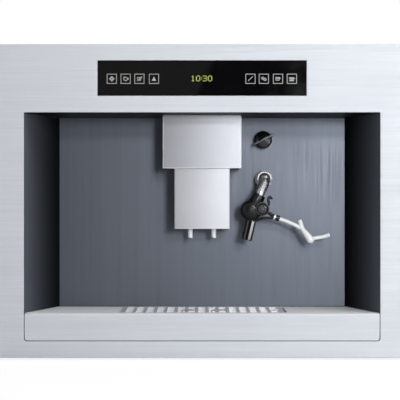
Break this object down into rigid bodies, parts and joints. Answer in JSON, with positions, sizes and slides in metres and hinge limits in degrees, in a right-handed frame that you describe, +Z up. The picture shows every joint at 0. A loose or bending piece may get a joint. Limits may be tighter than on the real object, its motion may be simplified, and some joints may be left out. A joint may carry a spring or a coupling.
{
  "type": "built in coffee machine",
  "caption": "Built-in coffee machine with a splayed cup cavity, sliding coffee outlet, steam wand with frother, drip drawer, water tank and bean hopper, on telescopic rails.",
  "frame": {"origin": "on the niche floor, midway between the sides and midway between the fascia's face and the rearmost face", "axes": "+X to the right as seen from the front, +Y to the rear of the machine, +Z up; the fascia faces -Y"},
  "size_m": [0.595, 0.4, 0.458],
  "materials": {
    "brushed": "brushed stainless steel, vertical grain on the fascia",
    "satin_silver": "fine satin silver",
    "dark_brushed": "dark brushed liner",
    "chrome": "polished chrome",
    "galvanised": "galvanised sheet",
    "rail_steel": "zinc plated, drawn",
    "black_glass": "black printed glass, polished",
    "black_plastic": "gloss black moulding",
    "dark_plastic": "matt black moulding",
    "grey_plastic": "grey glass filled moulding",
    "white_plastic": "white moulding",
    "silicone": "translucent white silicone",
    "clear_plastic": "smoky clear moulding",
    "circuit_board": "green solder mask",
    "cast_aluminium": "as cast",
    "brass": "machined brass",
    "red_plastic": "red moulding"
  },
  "bodies": {
    "rails_fixed": {"rail_outer_left": "rail_steel", "rail_outer_right": "rail_steel"},
    "rails_middle": {"rail_middle_left": "rail_steel", "rail_middle_right": "rail_steel"},
    "machine": {"rail_inner_left": "rail_steel", "rail_inner_right": "rail_steel", "base_pan": "galvanised", "side_wall_left": "galvanised", "side_wall_right": "galvanised", "rear_wall": "galvanised", "top_cover": "galvanised", "chassis_shelf": "galvanised", "fascia": "brushed", "control_glass": "black_glass", "display_board": "circuit_board", "cavity_cheek_left": "dark_brushed", "cavity_cheek_right": "dark_brushed", "cavity_roof": "dark_brushed", "back_plate": "dark_brushed", "outlet_housing": "satin_silver", "coffee_pipe": "silicone", "steam_valve": "brass", "wand_socket": "chrome", "brew_frame": "grey_plastic", "brew_motor": "dark_plastic", "grinder_body": "dark_plastic", "bean_hopper": "clear_plastic", "tank_stand": "galvanised", "thermoblock": "cast_aluminium", "pump": "dark_plastic", "power_board": "circuit_board", "mains_inlet": "black_plastic", "water_hose": "silicone", "hot_water_pipe": "silicone", "steam_pipe": "silicone"},
    "spout": {"spout_block": "satin_silver", "spout_nozzle_left": "chrome", "spout_nozzle_right": "chrome"},
    "steam_knob": {"steam_knob": "black_plastic", "knob_bar": "chrome"},
    "wand_swivel": {"wand_collar": "chrome"},
    "wand": {"wand_pipe": "chrome", "frother_body": "black_plastic", "frother_nozzle": "black_plastic", "frother_arm": "black_plastic"},
    "suction": {"suction_tube": "white_plastic", "suction_elbow": "white_plastic"},
    "frother_dial": {"frother_dial": "black_plastic"},
    "drawer": {"tray_front": "brushed", "drip_basin": "grey_plastic", "grounds_box": "dark_plastic"},
    "cup_grid": {"cup_grid": "brushed"},
    "drip_float": {"drip_float": "red_plastic"},
    "hopper_lid": {"hopper_lid": "dark_plastic"},
    "grind_knob": {"grind_knob": "black_plastic"},
    "water_tank": {"water_tank": "clear_plastic"},
    "tank_lid": {"tank_lid": "dark_plastic"},
    "brew_spindle": {"brew_spindle": "rail_steel"},
    "brew_chamber": {"brew_chamber": "dark_plastic"},
    "mains_rocker": {"mains_rocker": "black_plastic"}
  },
  "joints": [
    {"name": "machine_slide", "type": "slide", "parent": "rails_fixed", "child": "machine", "axis": [0, -1, 0], "range_m": [0, 0.32]},
    {"name": "rail_slide", "type": "slide", "parent": "rails_fixed", "child": "rails_middle", "axis": [0, -1, 0], "range_m": [0, 0.16]},
    {"name": "spout_slide", "type": "slide", "parent": "machine", "child": "spout", "axis": [0, 0, 1], "range_m": [-0.018, 0.045]},
    {"name": "knob_turn", "type": "hinge", "parent": "machine", "child": "steam_knob", "pos_m": [0.094, -0.1, 0.3245], "axis": [0, -1, 0], "range_deg": [0, 100]},
    {"name": "wand_swing", "type": "hinge", "parent": "machine", "child": "wand_swivel", "pos_m": [0.095, -0.1, 0.2645], "axis": [0, -1, 0], "range_deg": [-8, 25]},
    {"name": "wand_tilt", "type": "hinge", "parent": "wand_swivel", "child": "wand", "pos_m": [0.095, -0.116, 0.2645], "axis": [-1, 0, 0], "range_deg": [0, 30]},
    {"name": "dial_turn", "type": "hinge", "parent": "wand", "child": "frother_dial", "pos_m": [0.0904, -0.14, 0.2184], "axis": [0, -1, 0], "range_deg": [-40, 40]},
    {"name": "suction_turn", "type": "hinge", "parent": "wand", "child": "suction", "pos_m": [0.1143, -0.13, 0.2045], "axis": [0.9303, 0, -0.3669], "range_deg": [-90, 90]},
    {"name": "drawer_slide", "type": "slide", "parent": "machine", "child": "drawer", "axis": [0, -1, 0], "range_m": [0, 0.25]},
    {"name": "grid_lift", "type": "slide", "parent": "drawer", "child": "cup_grid", "axis": [0, 0, 1], "range_m": [0, 0.06]},
    {"name": "float_rise", "type": "slide", "parent": "drawer", "child": "drip_float", "axis": [0, 0, 1], "range_m": [0, 0.008]},
    {"name": "hopper_lid_turn", "type": "hinge", "parent": "machine", "child": "hopper_lid", "pos_m": [-0.18, 0.0735, 0.4445], "axis": [-1, 0, 0], "range_deg": [0, 95]},
    {"name": "grind_knob_turn", "type": "hinge", "parent": "machine", "child": "grind_knob", "pos_m": [-0.096, 0.01, 0.4408], "axis": [0, 0, 1], "range_deg": [0, 270]},
    {"name": "tank_lift", "type": "slide", "parent": "machine", "child": "water_tank", "axis": [0, 0, 1], "range_m": [0, 0.25]},
    {"name": "tank_lid_turn", "type": "hinge", "parent": "water_tank", "child": "tank_lid", "pos_m": [0.203, 0.101, 0.4445], "axis": [-1, 0, 0], "range_deg": [0, 95]},
    {"name": "chamber_rise", "type": "slide", "parent": "machine", "child": "brew_chamber", "axis": [0, 0, 1], "range_m": [0, 0.055]},
    {"name": "spindle_turn", "type": "hinge", "parent": "machine", "child": "brew_spindle", "pos_m": [0, 0.064, 0.2], "axis": [0, 0, 1], "range_deg": [0, 1655]},
    {"name": "rocker_turn", "type": "hinge", "parent": "machine", "child": "mains_rocker", "pos_m": [-0.2, 0.1946, 0.135], "axis": [1, 0, 0], "range_deg": [0, 10]}
  ],
  "couplings": [
    {"joint": "rail_slide", "follows": "machine_slide", "ratio": 0.5},
    {"joint": "spindle_turn", "follows": "chamber_rise", "rad_per_m": 523.6}
  ]
}
